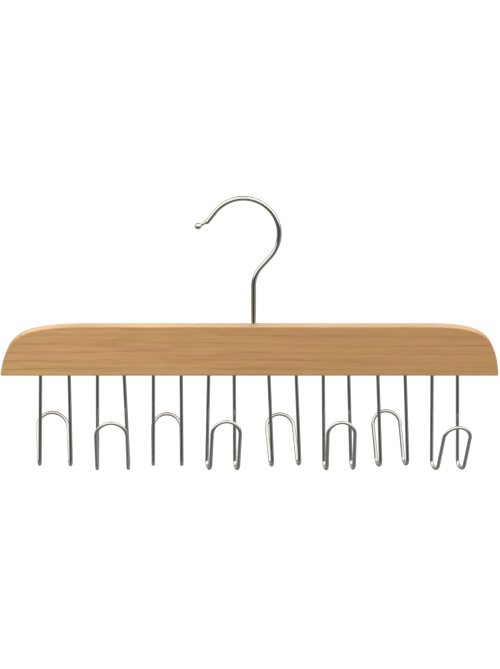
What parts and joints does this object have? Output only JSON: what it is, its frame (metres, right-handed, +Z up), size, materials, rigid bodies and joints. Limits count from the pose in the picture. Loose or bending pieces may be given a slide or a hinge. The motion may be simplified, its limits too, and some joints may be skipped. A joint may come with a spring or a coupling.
{
  "type": "tie hanger",
  "caption": "Wooden bar on a swivelling wire hook, with a row of bent wire hooks beneath it that face front and back in turn to hold ties or belts.",
  "frame": {"origin": "The crown inside the crook of the swivel hook, where a rod carries the hanger.", "axes": "+X along the bar to the right, +Y to the back, +Z up. The rod under the crook runs along Y."},
  "size_m": [0.34, 0.0421, 0.1914],
  "materials": {
    "wood": "pale hardwood under satin clear varnish",
    "chrome": "polished bright plating on round steel wire",
    "steel": "zinc-plated steel"
  },
  "bodies": {
    "hook": {"swivel_hook": "chrome", "stem_nut": "steel"},
    "bar": {"wooden_bar": "wood", "stem_washer": "steel", "tie_hook_1": "chrome", "tie_hook_2": "chrome", "tie_hook_3": "chrome", "tie_hook_4": "chrome", "tie_hook_5": "chrome", "tie_hook_6": "chrome", "tie_hook_7": "chrome", "tie_hook_8": "chrome"}
  },
  "joints": [
    {"name": "hook_swivel", "type": "hinge", "parent": "hook", "child": "bar", "pos_m": [0.0069, 0, -0.086], "axis": [0, 0, 1], "continuous": true}
  ]
}
